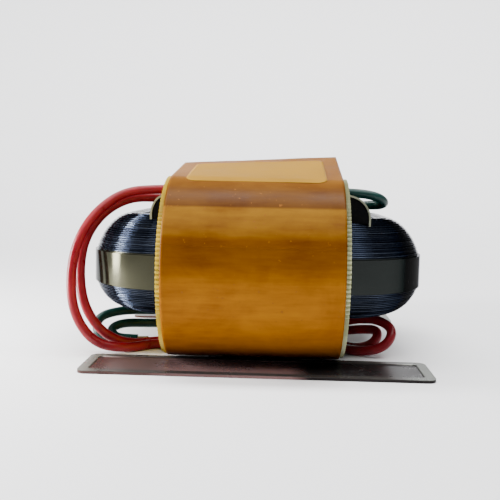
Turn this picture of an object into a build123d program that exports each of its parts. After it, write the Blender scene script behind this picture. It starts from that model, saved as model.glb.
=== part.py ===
from build123d import *
import os
from math import asin, atan2, cos, hypot, pi, radians, sin, sqrt, tan

# R-core transformer: two round coils side by side on one wound oval core, under one film jacket,
# on a pressed steel base with two foot rails.
# Millimetres. X runs along the coils, -Y is the front, +Z is up.
# The origin is under the middle of the body, at the level of the base's underside.

# Core, wound from strip whose width changes, so that its section is an oval of small steps
core_height = 26.2
core_build = 21.2
core_layers = 15
window_corner_radius = 2.5
window_end_clearance = 0.7

# Coils and their split bobbins, which turn on the core by the teeth of their flanges
coil_pitch = 50.0
axis_height = 24.5
flange_diameter = 46.5
flange_teeth = 128
tooth_depth = 0.7
flange_thickness = 1.3
bobbin_length = 46.0
bore_clearance = 0.5
tube_wall = 1.2
lap_height = 1.2
lap_clearance = 0.05
lead_slot_width = 3.2
lead_slot_depth = 2.4
lead_slot_angle = 52.0

# Windings, from the bobbin outwards
primary_build = 3.0
interlayer_build = 0.3
secondary_build = 3.7
coil_tape_build = 0.35
layer_gap = 0.05
end_gap = 0.1

# Film jacket over both coils, open below, and its blank label
film_thickness = 0.25
film_clearance = 0.05
jacket_length = 44.8
jacket_tuck_angle = 25.0
ridge_rise_left = 3.6
ridge_rise_right = 6.0
ridge_radius = 7.0
label_thickness = 0.12
label_length = 35.6
label_front = -33.4
label_back = -6.0
label_corner_radius = 2.5

# Base, one pressed steel piece: two foot rails with a raised rim round a shallow pan, and a web
rail_height = 0.8
pan_depth = 0.25
pan_slope = 0.4
web_thickness = 0.8
rim_width = 2.3
rail_length = 86.6
rail_width = 18.0
rail_reach = 21.5
rail_corner_radius = 2.2
web_width = 12.0
web_fillet = 5.0
base_offset = 1.0

# Stud, sleeve, clamp bar, washer and nut between the coils
stud_diameter = 3.0
stud_head_diameter = 5.5
stud_head_height = 0.45
sleeve_wall = 0.5
clamp_bar_width = 12.0
clamp_bar_thickness = 1.5
clamp_bar_corner = 1.5
clamp_bar_length = 28.0
stud_end_gap = 0.3
washer_diameter = 7.0
washer_thickness = 0.5
nut_width = 5.5
nut_height = 2.4
nut_chamfer_width = 1.4
stud_clearance = 0.1
seat_gap = 0.05

# Lead guards: a curl of stiff sheet over a filling block, on top of the front leg beside each flange
guard_reach = {"left": 4.4, "right": 6.3}
guard_rise = {"left": 5.6, "right": 6.2}
guard_foot = 1.8
guard_width = 7.6
guard_sheet = 0.45
guard_block_inset = 0.4

# Leads and the sleeves over their joints
lead_diameter = 2.6
joint_sleeve_diameter = 3.6
joint_sleeve_length = 15.0
tip_diameter = 1.5
tip_length = 3.0

# Worked out from the sizes above
flange_radius = flange_diameter / 2
bore_radius = core_height / 2 + bore_clearance
tube_radius = bore_radius + tube_wall
window_length = bobbin_length + 2 * window_end_clearance
window_width = coil_pitch - core_build
layer_thickness = core_build / core_layers
jacket_radius = flange_radius + film_clearance
winding_length = bobbin_length - 2 * flange_thickness - 2 * end_gap
primary_outer = tube_radius + layer_gap + primary_build
interlayer_outer = primary_outer + layer_gap + interlayer_build
secondary_outer = interlayer_outer + layer_gap + secondary_build
coil_outer = secondary_outer + layer_gap + coil_tape_build
rail_centre = coil_pitch / 2 + rail_reach - rail_width / 2
coils = {"front": -coil_pitch / 2, "rear": coil_pitch / 2}

os.makedirs("parts", exist_ok=True)


def save(name, shape):
    shape.label = name
    export_step(shape, os.path.join("parts", name + ".step"))
    print(f"{name}: volume {shape.volume:.1f} mm3")


def layer_height(index):
    """Height of one band of the strip, on an oval across the build."""
    across = (2 * index + 1 - core_layers) / core_layers
    return core_height * sqrt(1 - across * across)


def core_ring(index):
    """One band of the wound strip: a rounded oblong ring of that band's height."""
    inner = index * layer_thickness
    outer = inner + layer_thickness
    height = layer_height(index)
    ring = RectangleRounded(
        window_length + 2 * outer, window_width + 2 * outer, window_corner_radius + outer
    ) - RectangleRounded(
        window_length + 2 * inner, window_width + 2 * inner, window_corner_radius + inner
    )
    return extrude(Pos(0, 0, axis_height) * ring, amount=height / 2, both=True)


def make_core():
    core = core_ring(0)
    for index in range(1, core_layers):
        core = core + core_ring(index)
    return core


def along_x(sketch, x_start, length, y, z):
    """A sketch drawn in the plane across X, pushed along X. Its x is the part's Y, its y the part's Z."""
    plane = Plane(origin=(x_start, y, z), x_dir=(0, 1, 0), z_dir=(1, 0, 0))
    return extrude(plane * sketch, amount=length)


def half_flange():
    """Half of a toothed disc about the coil's axis, above the split, as a flat sketch."""
    steps = flange_teeth
    rim = []
    for step in range(steps + 1):
        angle = pi * step / steps
        radius = flange_radius - tooth_depth * (1 - step % 2)
        rim.append((radius * cos(angle), radius * sin(angle)))
    edge = Polyline(*rim)
    left = Line(rim[-1], (-bore_radius, 0))
    bore = ThreePointArc((-bore_radius, 0), (0, bore_radius), (bore_radius, 0))
    right = Line((bore_radius, 0), rim[0])
    return make_face([edge, left, bore, right])


def lead_slot(side):
    """An open slot in the flange's rim, on the side that faces the other coil."""
    angle = lead_slot_angle if side > 0 else 180 - lead_slot_angle
    middle = flange_radius - lead_slot_depth / 2
    slot = Rectangle(2 * lead_slot_depth, lead_slot_width)
    return Rot(0, 0, angle) * Pos(middle + lead_slot_depth / 2, 0) * slot


def half_ring(inner, outer):
    """Half of a flat ring, above the split."""
    ring = Circle(outer) - Circle(inner)
    return ring & Pos(0, outer) * Rectangle(2 * outer, 2 * outer)


def bobbin_half(upper, coil):
    """Half of a bobbin: half a tube and two half flanges. The upper half has lap strips that fit
    into rebates of the lower half."""
    face = half_flange()
    if upper:
        face = face - lead_slot(1 if coil == "front" else -1)
    end = bobbin_length / 2
    tube = half_ring(bore_radius, tube_radius)
    half = along_x(tube, -end, bobbin_length, 0, 0)
    half = half + along_x(face, -end, flange_thickness, 0, 0)
    half = half + along_x(face, end - flange_thickness, flange_thickness, 0, 0)
    middle_radius = bore_radius + tube_wall / 2
    if upper:
        strip_ring = Circle(middle_radius - lap_clearance) - Circle(bore_radius)
        strip_zone = Pos(0, -lap_height / 2) * Rectangle(2 * tube_radius, lap_height)
        half = half + along_x(strip_ring & strip_zone, -end, bobbin_length, 0, 0)
    else:
        depth = lap_height + lap_clearance
        rebate_ring = Circle(middle_radius) - Circle(bore_radius - layer_gap)
        rebate_zone = Pos(0, depth / 2) * Rectangle(2 * tube_radius, depth)
        half = half - along_x(rebate_ring & rebate_zone, -end, bobbin_length, 0, 0)
        half = Rot(180, 0, 0) * half
    return Pos(0, coils[coil], axis_height) * half


def winding(inner, outer, coil):
    """One wound layer between the flanges."""
    ring = Circle(outer) - Circle(inner)
    return along_x(ring, -winding_length / 2, winding_length, coils[coil], axis_height)


def tangent_angle(radius, crown, rise):
    """Slope of the straight run of film from a coil up to the round of the ridge."""
    height = radius + rise - crown
    reach = hypot(coil_pitch / 2, height)
    return atan2(height, coil_pitch / 2) - asin((radius - crown) / reach)


def film_curve(radius, crown, rise):
    """Points of the film's line across the coils at one radius: tuck end, front, tangent point,
    start of the ridge, top of the ridge. The rear half mirrors them."""
    centre = -coil_pitch / 2
    slope = tangent_angle(radius, crown, rise)
    tuck = radians(jacket_tuck_angle)
    ridge_centre = axis_height + radius + rise - crown
    return {
        "tuck": (centre + radius * sin(tuck), axis_height - radius * cos(tuck)),
        "front": (centre - radius, axis_height),
        "lift": (centre - radius * sin(slope), axis_height + radius * cos(slope)),
        "ridge": (-crown * sin(slope), ridge_centre + crown * cos(slope)),
        "top": (0.0, ridge_centre + crown),
    }


def film_edges(x, radius, crown, rise):
    """Edges of the film's line across the coils, from the front tuck to the rear tuck."""
    spot = {name: Vector(x, y, z) for name, (y, z) in film_curve(radius, crown, rise).items()}
    back = {name: Vector(x, -point.Y, point.Z) for name, point in spot.items()}
    return [
        ThreePointArc(spot["tuck"], spot["front"], spot["lift"]),
        Line(spot["lift"], spot["ridge"]),
        ThreePointArc(spot["ridge"], spot["top"], back["ridge"]),
        Line(back["ridge"], back["lift"]),
        ThreePointArc(back["lift"], back["front"], back["tuck"]),
    ]


def film_section(x, rise):
    """The film's closed section at one end."""
    outer = film_edges(x, jacket_radius + film_thickness, ridge_radius + film_thickness, rise)
    inner = film_edges(x, jacket_radius, ridge_radius, rise)
    ends = [Line(outer[0] @ 0, inner[0] @ 0), Line(outer[-1] @ 1, inner[-1] @ 1)]
    return make_face(outer + inner + ends)


def rise_at(x):
    """Rise of the ridge above the coils' tops, which grows evenly from left to right."""
    share = (x + jacket_length / 2) / jacket_length
    return ridge_rise_left + share * (ridge_rise_right - ridge_rise_left)


def make_jacket():
    half = jacket_length / 2
    return loft([film_section(-half, rise_at(-half)), film_section(half, rise_at(half))], ruled=True)


def label_section(x):
    """Section of the label's sheet on the film's front slope, from the front round to the ridge."""
    rise = rise_at(x)
    low = film_curve(jacket_radius + film_thickness, ridge_radius + film_thickness, rise)
    grow = film_thickness + label_thickness
    high = film_curve(jacket_radius + grow, ridge_radius + grow, rise)
    lower = [Vector(x, *low[name]) for name in ("front", "lift", "ridge")]
    upper = [Vector(x, *high[name]) for name in ("front", "lift", "ridge")]
    slope = tangent_angle(jacket_radius, ridge_radius, rise)

    def arc(start, end, radius):
        middle_y = -coil_pitch / 2 - radius * cos(pi / 4 - slope / 2)
        middle_z = axis_height + radius * sin(pi / 4 - slope / 2)
        return ThreePointArc(start, Vector(x, middle_y, middle_z), end)

    return make_face([
        arc(lower[0], lower[1], jacket_radius + film_thickness),
        Line(lower[1], lower[2]),
        Line(lower[2], upper[2]),
        Line(upper[2], upper[1]),
        arc(upper[0], upper[1], jacket_radius + grow),
        Line(upper[0], lower[0]),
    ])


def make_label():
    half = jacket_length / 2
    sheet = loft([label_section(-half), label_section(half)], ruled=True)
    width = label_back - label_front
    outline = RectangleRounded(label_length, width, label_corner_radius)
    stamp = extrude(Pos(0, label_front + width / 2, axis_height) * outline, amount=flange_diameter)
    return sheet & stamp


def rail(side):
    """One foot rail: a strip with a shallow pan pressed into its top, inside a rim."""
    outline = RectangleRounded(rail_length, rail_width, rail_corner_radius)
    floor_inset = rim_width + pan_slope
    pan_floor = RectangleRounded(
        rail_length - 2 * floor_inset, rail_width - 2 * floor_inset, rail_corner_radius - rim_width / 2
    )
    pan_mouth = RectangleRounded(
        rail_length - 2 * rim_width, rail_width - 2 * rim_width, rail_corner_radius - rim_width / 2
    )
    pan = loft([Pos(0, 0, rail_height - pan_depth) * pan_floor, Pos(0, 0, rail_height) * pan_mouth])
    return Pos(base_offset, side * rail_centre, 0) * (extrude(outline, amount=rail_height) - pan)


def make_base():
    inner = rail_centre - rail_width / 2
    web_half = inner + rim_width
    web = Rectangle(web_width, 2 * web_half)
    corners = []
    for x_side in (-1, 1):
        for y_side in (-1, 1):
            corner = Pos(x_side * (web_width + web_fillet) / 2, y_side * (inner - web_fillet / 2))
            block = Rectangle(web_fillet, web_fillet)
            bite = Pos(x_side * web_fillet / 2, -y_side * web_fillet / 2) * Circle(web_fillet)
            corners.append(corner * (block - bite))
    plate = web
    for corner in corners:
        plate = plate + corner
    base = rail(-1) + rail(1) + extrude(plate, amount=web_thickness)
    hole = Cylinder(
        stud_head_diameter / 2, stud_head_height, align=(Align.CENTER, Align.CENTER, Align.MIN)
    )
    shank_hole = Cylinder(
        stud_diameter / 2 + stud_clearance / 2, web_thickness, align=(Align.CENTER, Align.CENTER, Align.MIN)
    )
    return base - hole - shank_hole


def upright(radius, height, z):
    """A round solid that stands on a level."""
    return Pos(0, 0, z) * Cylinder(radius, height, align=(Align.CENTER, Align.CENTER, Align.MIN))


def make_stud():
    """Stud with a flat head let into the web's underside."""
    head = upright(stud_head_diameter / 2 - stud_clearance / 2, stud_head_height, 0)
    return head + upright(stud_diameter / 2, stud_top - stud_head_height, stud_head_height)


def make_sleeve():
    """Insulating sleeve round the stud, from the web to the clamp bar."""
    bore = stud_diameter / 2 + stud_clearance / 2
    height = bar_level - web_thickness - 2 * seat_gap
    level = web_thickness + seat_gap
    return upright(bore + sleeve_wall, height, level) - upright(bore, height, level)


def make_clamp_bar():
    """Flat bar with rounded corners, whose ends bear on the inner flanks of both coils."""
    outline = RectangleRounded(clamp_bar_width, clamp_bar_length, clamp_bar_corner)
    bar = extrude(Pos(0, 0, bar_level) * outline, amount=clamp_bar_thickness)
    return bar - upright(stud_diameter / 2 + stud_clearance, clamp_bar_thickness, bar_level)


def make_washer():
    level = bar_level + clamp_bar_thickness + seat_gap
    bore = stud_diameter / 2 + stud_clearance
    return upright(washer_diameter / 2, washer_thickness, level) - upright(bore, washer_thickness, level)


def make_nut():
    """Hexagon nut, its top corners taken off by a cone."""
    blank = Pos(0, 0, nut_level) * RegularPolygon(nut_width / 2, 6, major_radius=False)
    cone = Cone(
        nut_width / 2 + nut_height,
        nut_width / 2,
        nut_height + nut_chamfer_width / 2,
        align=(Align.CENTER, Align.CENTER, Align.MIN),
    )
    nut = extrude(blank, amount=nut_height) & Pos(0, 0, nut_level) * cone
    return nut - upright(stud_diameter / 2 + stud_clearance / 2, nut_height, nut_level)


def guard_profile(reach, rise):
    """A quarter of an oval on a short foot, in the plane of X and Z, from the flange face outwards."""
    quarter = Ellipse(reach, rise) & Pos(reach / 2, rise / 2) * Rectangle(reach, rise)
    return quarter + Pos(reach / 2, -guard_foot / 2) * Rectangle(reach, guard_foot)


def guard_solid(profile, width, side):
    """A profile pushed across the front leg, set against a flange and cut to the core's top."""
    start = bobbin_length / 2 + seat_gap
    plane = Plane(
        origin=(side * start, coils["front"] + side * width / 2, axis_height + core_height / 2),
        x_dir=(side, 0, 0),
        z_dir=(0, -side, 0),
    )
    return extrude(plane * profile, amount=width) - core


def make_guard_sheet(name, side):
    reach, rise = guard_reach[name], guard_rise[name]
    outer = guard_profile(reach, rise)
    return guard_solid(outer - guard_profile(reach - guard_sheet, rise - guard_sheet), guard_width, side)


def make_guard_block(name, side):
    play = guard_sheet + seat_gap
    profile = guard_profile(guard_reach[name] - play, guard_rise[name] - play)
    return guard_solid(profile, guard_width - 2 * guard_block_inset, side)


def bend_radii(points):
    """Radius of each arc of a lead: as large as its two runs allow."""
    radii = []
    for before, here, after in zip(points, points[1:], points[2:]):
        first = Vector(*here) - Vector(*before)
        second = Vector(*after) - Vector(*here)
        half_turn = radians(first.get_angle(second)) / 2
        radii.append(0.45 * min(first.length, second.length) / tan(half_turn))
    return radii


def lead_solid(name, points):
    """A lead: straight runs joined by tangent arcs."""
    radii = bend_radii(points)
    path = FilletPolyline(*points, radius=radii)
    tube = sweep(Plane(origin=path @ 0, z_dir=path % 0) * Circle(lead_diameter / 2), path=path)
    full = pi * lead_diameter**2 / 4 * path.length
    print(f"{name}: length {path.length:.1f}, radii", " ".join(f"{radius:.0f}" for radius in radii))
    print(f"{name}: volume over section times length {tube.volume / full:.4f}")
    return tube


def lead_end(start, direction, length, diameter):
    """A round piece that starts square on a lead's end."""
    return extrude(Plane(origin=start, z_dir=direction) * Circle(diameter / 2), amount=length)


# Lead routes, from the joint on top of the front coil to the tinned end
leads = {
    "red_lead_1": [
        (-21.5, -10.0, 44.05), (-28.6, -10.0, 44.05), (-37.6, -12.6, 43.1), (-44.4, -17.6, 37.5),
        (-48.4, -22.0, 29.5), (-49.4, -24.8, 19.7), (-48.0, -25.6, 10.0), (-42.6, -25.6, 2.8),
        (-34.8, -24.0, 1.3), (-27.6, -16.3, 1.3), (-17.6, -15.1, 1.4), (-6.8, -13.4, 2.4),
        (4.2, -13.4, 2.4), (13.2, -15.2, 1.5), (22.6, -15.2, 1.3), (29.2, -20.2, 1.3),
        (35.2, -22.8, 3.4), (37.6, -20.4, 7.8), (33.4, -15.2, 9.6), (28.2, -9.4, 8.4),
        (22.4, -7.2, 6.4), (16.2, -7.0, 4.9), (10.6, -7.0, 4.2),
    ],
    "red_lead_2": [
        (-21.5, -7.2, 41.55), (-28.4, -7.2, 41.55), (-36.6, -9.2, 41.5), (-43.4, -13.0, 37.3),
        (-47.6, -17.2, 29.9), (-48.0, -20.6, 20.5), (-46.0, -22.4, 11.5), (-40.8, -21.8, 4.4),
        (-34.2, -18.6, 1.3), (-26.6, -12.1, 1.3), (-16.0, -11.9, 1.4), (-6.8, -10.3, 2.4),
        (4.2, -10.3, 2.4), (13.2, -11.9, 1.5), (22.6, -11.7, 1.3), (29.0, -16.0, 1.3),
        (33.0, -18.0, 3.6), (34.2, -14.8, 6.6), (29.2, -10.0, 5.6), (24.0, -5.6, 4.0),
        (18.2, -4.0, 2.6), (12.2, -3.8, 2.0),
    ],
    "green_lead_1": [
        (21.5, -10.0, 44.05), (27.6, -10.0, 44.05), (33.0, -9.2, 43.2), (35.8, -6.6, 41.6),
        (35.2, -3.0, 40.6), (31.4, -0.6, 40.4), (26.4, 0.4, 39.8), (21.2, 0.2, 37.6), (16.8, 0.0, 32.8),
        (15.0, 0.0, 25.4), (14.0, 0.4, 17.6), (10.8, 2.8, 10.8), (4.4, 4.8, 7.6), (-4.2, 5.0, 7.3),
        (-13.0, 3.8, 7.3), (-22.0, 1.2, 7.6), (-31.0, -2.4, 8.2), (-39.4, -6.2, 8.6),
        (-45.4, -10.4, 7.2), (-44.8, -13.8, 3.0), (-40.4, -14.2, 1.4), (-35.2, -13.8, 1.3),
    ],
    "green_lead_2": [
        (21.5, -7.2, 41.55), (26.2, -7.2, 41.55), (29.8, -5.6, 40.6), (28.8, -2.4, 38.2),
        (24.2, -0.4, 35.0), (21.0, 0.0, 29.6), (20.0, 0.0, 21.6), (18.6, 0.8, 13.8), (13.6, 3.8, 7.2),
        (6.6, 6.2, 4.2), (-1.8, 6.2, 3.8), (-10.2, 5.0, 3.8), (-18.4, 2.0, 3.8), (-26.0, -1.6, 4.2),
        (-33.0, -5.0, 4.8), (-38.6, -7.8, 5.2), (-41.8, -9.8, 3.8), (-40.2, -11.1, 1.8),
        (-37.0, -11.1, 1.3), (-33.6, -10.9, 1.3),
    ],
}

bar_reach = (coil_pitch - clamp_bar_length) / 2
bar_level = axis_height + sqrt(coil_outer**2 - bar_reach**2) + seat_gap
nut_level = bar_level + clamp_bar_thickness + washer_thickness + 2 * seat_gap
stud_top = axis_height + jacket_radius + rise_at(0) - stud_end_gap

core = make_core()
save("core", core)
for coil_name in coils:
    save(f"bobbin_{coil_name}_upper", bobbin_half(True, coil_name))
    save(f"bobbin_{coil_name}_lower", bobbin_half(False, coil_name))
    save(f"primary_winding_{coil_name}", winding(tube_radius + layer_gap, primary_outer, coil_name))
    save(f"interlayer_tape_{coil_name}", winding(primary_outer + layer_gap, interlayer_outer, coil_name))
    save(f"secondary_winding_{coil_name}", winding(interlayer_outer + layer_gap, secondary_outer, coil_name))
    save(f"coil_tape_{coil_name}", winding(secondary_outer + layer_gap, coil_outer, coil_name))

save("film_jacket", make_jacket())
save("rating_label", make_label())
save("base_plate", make_base())
save("clamp_stud", make_stud())
save("stud_sleeve", make_sleeve())
save("clamp_bar", make_clamp_bar())
save("clamp_washer", make_washer())
save("clamp_nut", make_nut())
for side_name, side in {"left": -1, "right": 1}.items():
    save(f"guard_sheet_{side_name}", make_guard_sheet(side_name, side))
    save(f"guard_block_{side_name}", make_guard_block(side_name, side))

for name, points in leads.items():
    inward = Vector(-points[0][0], 0, 0)
    last_run = Vector(*points[-1]) - Vector(*points[-2])
    save(name, lead_solid(name, points))
    save(f"{name}_joint", lead_end(points[0], inward, joint_sleeve_length, joint_sleeve_diameter))
    save(f"{name}_tip", lead_end(points[-1], last_run, tip_length, tip_diameter))
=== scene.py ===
"""Looks of an r-core transformer: two film-wrapped coils on a wound oval core, on a pressed steel base.

Sizes are in millimetres in the classes' fields and become metres where a mesh is made.
X runs along the coils, -Y is the front and +Z is up, as in the frame.
"""

import logging
import math
from dataclasses import dataclass, field
from enum import Enum

import bmesh
import bpy
import numpy as np
from mathutils import Matrix, Vector


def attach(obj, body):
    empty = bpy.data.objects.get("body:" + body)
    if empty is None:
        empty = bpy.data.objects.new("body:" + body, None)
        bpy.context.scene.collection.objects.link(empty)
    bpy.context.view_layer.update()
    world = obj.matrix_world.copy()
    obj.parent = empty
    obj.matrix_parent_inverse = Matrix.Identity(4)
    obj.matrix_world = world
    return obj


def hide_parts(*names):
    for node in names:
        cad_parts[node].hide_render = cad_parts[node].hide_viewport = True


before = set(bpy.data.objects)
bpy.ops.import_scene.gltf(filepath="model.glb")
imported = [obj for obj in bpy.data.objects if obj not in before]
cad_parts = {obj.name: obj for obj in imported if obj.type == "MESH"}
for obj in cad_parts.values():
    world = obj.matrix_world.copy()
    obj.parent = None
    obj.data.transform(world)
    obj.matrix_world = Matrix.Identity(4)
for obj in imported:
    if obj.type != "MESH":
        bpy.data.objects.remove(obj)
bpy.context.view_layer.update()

MM = 0.001
DOUBLE_REACH = 1e-7
LOG = logging.getLogger("transformer")

Colour = tuple[float, float, float]
Point = tuple[float, float, float]


class Coil(Enum):
    """The two coils, with the Y of each one's axis in millimetres."""

    FRONT = -25.0
    REAR = 25.0


class Mixing(Enum):
    """How one colour is laid over another."""

    REPLACE = "MIX"
    MULTIPLY = "MULTIPLY"


# Meshes


def put_mesh(name: str, points: np.ndarray, faces: np.ndarray) -> bpy.types.Object:
    """Makes a smooth-shaded object from points in millimetres and four-cornered faces.

    Args:
        name: the object's name.
        points: array of n by 3 points in millimetres.
        faces: array of m by 4 point numbers.

    Returns:
        The new object, at the origin, linked to the scene.
    """
    mesh = bpy.data.meshes.new(name)
    mesh.vertices.add(len(points))
    mesh.vertices.foreach_set("co", (np.asarray(points, float) * MM).ravel())
    mesh.loops.add(faces.size)
    mesh.loops.foreach_set("vertex_index", faces.ravel().astype(np.int32))
    mesh.polygons.add(len(faces))
    mesh.polygons.foreach_set("loop_start", np.arange(0, faces.size, 4, dtype=np.int32))
    mesh.polygons.foreach_set("loop_total", np.full(len(faces), 4, dtype=np.int32))
    mesh.update(calc_edges=True)
    mesh.polygons.foreach_set("use_smooth", np.ones(len(faces), bool))
    mesh.validate()
    thing = bpy.data.objects.new(name, mesh)
    bpy.context.scene.collection.objects.link(thing)
    return thing


def grid_faces(rows: int, columns: int, close_rows: bool = False, close_columns: bool = False) -> np.ndarray:
    """Numbers the faces of a grid of rows by columns points, stored row by row.

    Args:
        rows: number of rows of points.
        columns: number of points in a row.
        close_rows: whether the last row joins the first.
        close_columns: whether each row's last point joins its first.

    Returns:
        Array of m by 4 point numbers.
    """
    i = np.arange(rows if close_rows else rows - 1)[:, None]
    j = np.arange(columns if close_columns else columns - 1)[None, :]
    down = (i + 1) % rows
    across = (j + 1) % columns
    corners = [i * columns + j, down * columns + j, down * columns + across, i * columns + across]
    return np.stack(np.broadcast_arrays(*corners), axis=-1).reshape(-1, 4)


def grid_object(
    name: str, grid: np.ndarray, close_rows: bool = False, close_columns: bool = False
) -> bpy.types.Object:
    """Makes an object from a grid of points.

    Args:
        name: the object's name.
        grid: array of rows by columns by 3 points in millimetres.
        close_rows: whether the last row joins the first.
        close_columns: whether each row's last point joins its first.

    Returns:
        The new object.
    """
    rows, columns = grid.shape[:2]
    return put_mesh(name, grid.reshape(-1, 3), grid_faces(rows, columns, close_rows, close_columns))


def turn_outwards(thing: bpy.types.Object) -> None:
    """Merges a shape's doubles and points its faces outwards."""
    shape = bmesh.new()
    shape.from_mesh(thing.data)
    bmesh.ops.remove_doubles(shape, verts=shape.verts, dist=DOUBLE_REACH)
    bmesh.ops.recalc_face_normals(shape, faces=shape.faces)
    shape.to_mesh(thing.data)
    shape.free()


def tube_grid(path: np.ndarray, radius: np.ndarray | float, sides: int) -> np.ndarray:
    """Points of a round tube along a path: each ring is the path's point plus radius times the
    cosine and sine of the ring angle along two directions square to the path, which are carried
    from a fixed sideways direction.

    Args:
        path: array of n by 3 points in millimetres.
        radius: one radius, or n of them.
        sides: points in a ring.

    Returns:
        Array of n by sides by 3 points.
    """
    tangent = np.gradient(path, axis=0)
    tangent /= np.linalg.norm(tangent, axis=1, keepdims=True)
    lean = np.array([0.31, 0.52, 0.79])
    first = np.cross(tangent, lean)
    first /= np.linalg.norm(first, axis=1, keepdims=True)
    second = np.cross(tangent, first)
    angle = np.linspace(0, 2 * np.pi, sides, endpoint=False)
    reach = np.broadcast_to(np.asarray(radius, float), (len(path),))[:, None, None]
    ring = first[:, None] * np.cos(angle)[None, :, None] + second[:, None] * np.sin(angle)[None, :, None]
    return path[:, None] + reach * ring


def capped(grid: np.ndarray) -> np.ndarray:
    """Adds a row of one repeated point at each end of a tube's grid, which closes the tube."""
    columns = grid.shape[1]
    head = np.repeat(grid[:1].mean(axis=1, keepdims=True), columns, axis=1)
    tail = np.repeat(grid[-1:].mean(axis=1, keepdims=True), columns, axis=1)
    return np.concatenate([head, grid, tail])


def join_up(name: str, things: list[bpy.types.Object]) -> bpy.types.Object:
    """Joins several meshes into one object under a new name."""
    points, faces, start = [], [], 0
    for thing in things:
        mesh = thing.data
        co = np.empty(len(mesh.vertices) * 3)
        mesh.vertices.foreach_get("co", co)
        index = np.empty(len(mesh.loops), dtype=np.int32)
        mesh.loops.foreach_get("vertex_index", index)
        points.append(co.reshape(-1, 3) / MM)
        faces.append(index.reshape(-1, 4) + start)
        start += len(mesh.vertices)
        bpy.data.objects.remove(thing)
    return put_mesh(name, np.concatenate(points), np.concatenate(faces))


# Finishes


class Paint:
    """A material under construction, with short ways to add its nodes."""

    def __init__(self, name: str) -> None:
        """Makes an empty material with one Principled shader."""
        self.material = bpy.data.materials.new(name)
        self.material.use_nodes = True
        self.tree = self.material.node_tree
        self.shader = self.tree.nodes["Principled BSDF"]

    def set(self, **values: float | tuple[float, ...]) -> None:
        """Sets sockets of the shader; an underscore in a name stands for a space."""
        for name, value in values.items():
            self.shader.inputs[name.replace("_", " ")].default_value = value

    def add(self, kind: str, **properties: object) -> bpy.types.Node:
        """Adds a node and sets its properties."""
        node = self.tree.nodes.new(kind)
        for name, value in properties.items():
            setattr(node, name, value)
        return node

    def link(self, source: bpy.types.NodeSocket, target: bpy.types.NodeSocket) -> None:
        """Joins two sockets."""
        self.tree.links.new(source, target)

    def place(self, scale: Point = (1, 1, 1)) -> bpy.types.NodeSocket:
        """Gives the object coordinates a pattern reads, multiplied by a scale along each axis."""
        source = self.add("ShaderNodeTexCoord")
        mapping = self.add("ShaderNodeMapping")
        mapping.inputs["Scale"].default_value = scale
        self.link(source.outputs["Object"], mapping.inputs["Vector"])
        return mapping.outputs["Vector"]

    def noise(self, where: bpy.types.NodeSocket, scale: float, detail: float = 3.0,
              roughness: float = 0.5, warp: float = 0.0) -> bpy.types.NodeSocket:
        """Adds a noise pattern and gives its value socket."""
        node = self.add("ShaderNodeTexNoise")
        node.inputs["Scale"].default_value = scale
        node.inputs["Detail"].default_value = detail
        node.inputs["Roughness"].default_value = roughness
        node.inputs["Distortion"].default_value = warp
        self.link(where, node.inputs["Vector"])
        return node.outputs["Fac"]

    def ramp(self, value: bpy.types.NodeSocket, stops: list[tuple[float, Colour]]) -> bpy.types.NodeSocket:
        """Turns a value into a colour through stops of place and colour."""
        node = self.add("ShaderNodeValToRGB")
        elements = node.color_ramp.elements
        while len(elements) < len(stops):
            elements.new(0.5)
        for element, (place, colour) in zip(elements, stops):
            element.position = place
            element.color = (*colour, 1.0)
        self.link(value, node.inputs["Fac"])
        return node.outputs["Color"]

    def range(self, value: bpy.types.NodeSocket, low: float, high: float,
              from_low: float = 0.0, from_high: float = 1.0) -> bpy.types.NodeSocket:
        """Stretches a value from one range to another."""
        node = self.add("ShaderNodeMapRange")
        node.inputs["From Min"].default_value = from_low
        node.inputs["From Max"].default_value = from_high
        node.inputs["To Min"].default_value = low
        node.inputs["To Max"].default_value = high
        self.link(value, node.inputs["Value"])
        return node.outputs["Result"]

    def math(self, operation: str, first: bpy.types.NodeSocket,
             second: bpy.types.NodeSocket | float) -> bpy.types.NodeSocket:
        """Adds a sum, product or other operation on one or two values."""
        node = self.add("ShaderNodeMath", operation=operation)
        self.link(first, node.inputs[0])
        if isinstance(second, float):
            node.inputs[1].default_value = second
        else:
            self.link(second, node.inputs[1])
        return node.outputs["Value"]

    def blend(self, share: bpy.types.NodeSocket | float, first: bpy.types.NodeSocket | Colour,
              second: bpy.types.NodeSocket | Colour, mixing: Mixing = Mixing.REPLACE) -> bpy.types.NodeSocket:
        """Mixes two colours by a share, which is a socket or one number."""
        node = self.add("ShaderNodeMix", data_type="RGBA", blend_type=mixing.value)
        if isinstance(share, float):
            node.inputs[0].default_value = share
        else:
            self.link(share, node.inputs[0])
        for socket, value in ((node.inputs[6], first), (node.inputs[7], second)):
            if isinstance(value, tuple):
                socket.default_value = (*value, 1.0)
            else:
                self.link(value, socket)
        return node.outputs[2]

    def axis(self, where: bpy.types.NodeSocket, name: str) -> bpy.types.NodeSocket:
        """Gives one of the X, Y and Z of a place."""
        node = self.add("ShaderNodeSeparateXYZ")
        self.link(where, node.inputs[0])
        return node.outputs[name]

    def bump(self, height: bpy.types.NodeSocket, depth: float, strength: float = 1.0,
             under: bpy.types.NodeSocket | None = None) -> bpy.types.NodeSocket:
        """Adds a bump of a depth in millimetres, over another one if given."""
        node = self.add("ShaderNodeBump")
        node.inputs["Distance"].default_value = depth * MM
        node.inputs["Strength"].default_value = strength
        self.link(height, node.inputs["Height"])
        if under is not None:
            self.link(under, node.inputs["Normal"])
        return node.outputs["Normal"]

    def into(self, source: bpy.types.NodeSocket, name: str) -> None:
        """Feeds a socket of the shader."""
        self.link(source, self.shader.inputs[name])


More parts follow.
